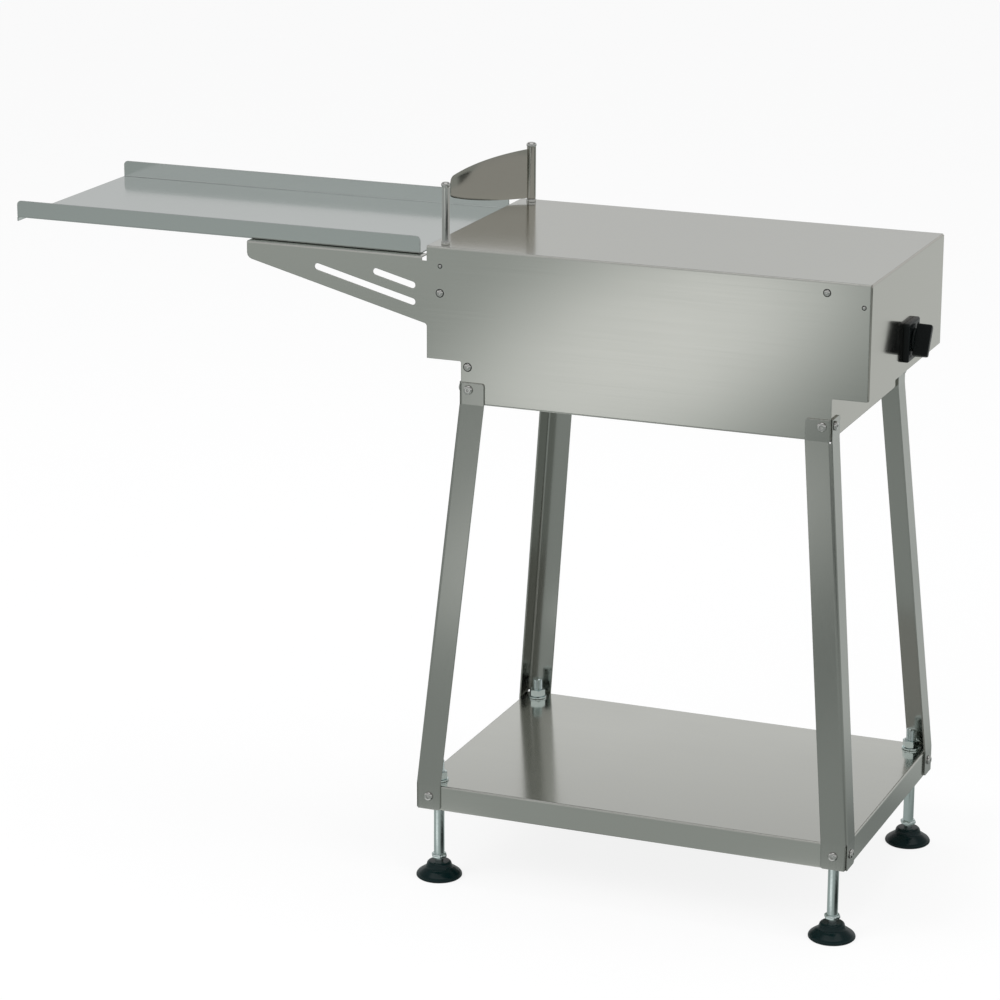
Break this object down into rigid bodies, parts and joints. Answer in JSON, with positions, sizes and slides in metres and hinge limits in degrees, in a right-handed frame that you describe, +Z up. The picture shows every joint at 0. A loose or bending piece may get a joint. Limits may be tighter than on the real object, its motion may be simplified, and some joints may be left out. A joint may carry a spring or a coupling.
{
  "type": "bread bagging table",
  "caption": "Steel bread bagging table: blower housing on splayed legs, slotted brackets under a bag tray, guide posts with a curved wing, rotary switch, low shelf and levelling feet.",
  "frame": {"origin": "on the floor, under the middle of the whole outline", "axes": "+Z up, +X from the bag tray towards the switch end, the front with the plain wall faces -Y"},
  "size_m": [1.4486, 0.4968, 1.1105],
  "materials": {
    "brushed_sheet": "stainless sheet with a fine lengthwise grain, half mirror on the flat top",
    "leg_sheet": "stainless sheet with a soft grain along the leg",
    "polished_steel": "polished stainless steel",
    "zinc_steel": "bright zinc plating, slightly blue",
    "galvanised_sheet": "dull galvanised sheet",
    "motor_paint": "dark grey satin paint",
    "black_plastic": "satin moulded black plastic",
    "foot_plastic": "matt moulded black plastic"
  },
  "bodies": {
    "frame": {"housing_shell": "brushed_sheet", "left_end_panel": "brushed_sheet", "right_end_panel": "brushed_sheet", "bottom_plate": "brushed_sheet", "bag_tray": "brushed_sheet", "shelf": "brushed_sheet", "front_upright": "polished_steel", "back_upright": "polished_steel", "front_upright_nut": "zinc_steel", "back_upright_nut": "zinc_steel", "leg_front_left": "leg_sheet", "leg_front_right": "leg_sheet", "leg_back_right": "leg_sheet", "leg_back_left": "leg_sheet", "upper_nut_front_left": "zinc_steel", "upper_nut_front_right": "zinc_steel", "upper_nut_back_right": "zinc_steel", "upper_nut_back_left": "zinc_steel", "lower_nut_front_left": "zinc_steel", "lower_nut_front_right": "zinc_steel", "lower_nut_back_right": "zinc_steel", "lower_nut_back_left": "zinc_steel", "screw_front_left_upper_outer": "zinc_steel", "screw_front_left_upper_end": "zinc_steel", "screw_front_left_lower_outer": "zinc_steel", "screw_front_left_lower_end": "zinc_steel", "screw_front_right_upper_outer": "zinc_steel", "screw_front_right_upper_end": "zinc_steel", "screw_front_right_lower_outer": "zinc_steel", "screw_front_right_lower_end": "zinc_steel", "screw_back_right_upper_outer": "zinc_steel", "screw_back_right_upper_end": "zinc_steel", "screw_back_right_lower_outer": "zinc_steel", "screw_back_right_lower_end": "zinc_steel", "screw_back_left_upper_outer": "zinc_steel", "screw_back_left_upper_end": "zinc_steel", "screw_back_left_lower_outer": "zinc_steel", "screw_back_left_lower_end": "zinc_steel", "fan_scroll": "galvanised_sheet", "fan_inlet_plate": "galvanised_sheet", "motor": "motor_paint", "motor_bracket": "galvanised_sheet", "air_duct": "galvanised_sheet", "switch_bezel": "black_plastic", "switch_block": "black_plastic", "cable_gland": "black_plastic"},
    "fan_rotor": {"fan_wheel": "galvanised_sheet", "motor_shaft": "zinc_steel"},
    "switch": {"switch_knob": "black_plastic", "switch_shaft": "zinc_steel"},
    "wing": {"guide_wing": "polished_steel"},
    "foot_front_left": {"foot_rod_front_left": "zinc_steel", "foot_pad_front_left": "foot_plastic"},
    "foot_front_right": {"foot_rod_front_right": "zinc_steel", "foot_pad_front_right": "foot_plastic"},
    "foot_back_right": {"foot_rod_back_right": "zinc_steel", "foot_pad_back_right": "foot_plastic"},
    "foot_back_left": {"foot_rod_back_left": "zinc_steel", "foot_pad_back_left": "foot_plastic"}
  },
  "joints": [
    {"name": "fan_spin", "type": "hinge", "parent": "frame", "child": "fan_rotor", "pos_m": [0.4507, 0, 0.8905], "axis": [0, 1, 0], "continuous": true},
    {"name": "switch_turn", "type": "hinge", "parent": "frame", "child": "switch", "pos_m": [0.709, 0.01, 0.8885], "axis": [1, 0, 0], "range_deg": [0, 60]},
    {"name": "wing_swing", "type": "hinge", "parent": "frame", "child": "wing", "pos_m": [0.0137, 0.177, 1.0465], "axis": [0, 0, -1], "range_deg": [-30, 40]},
    {"name": "level_front_left", "type": "slide", "parent": "frame", "child": "foot_front_left", "axis": [0, 0, -1], "range_m": [0, 0.017]},
    {"name": "level_front_right", "type": "slide", "parent": "frame", "child": "foot_front_right", "axis": [0, 0, -1], "range_m": [0, 0.017]},
    {"name": "level_back_right", "type": "slide", "parent": "frame", "child": "foot_back_right", "axis": [0, 0, -1], "range_m": [0, 0.017]},
    {"name": "level_back_left", "type": "slide", "parent": "frame", "child": "foot_back_left", "axis": [0, 0, -1], "range_m": [0, 0.017]}
  ]
}
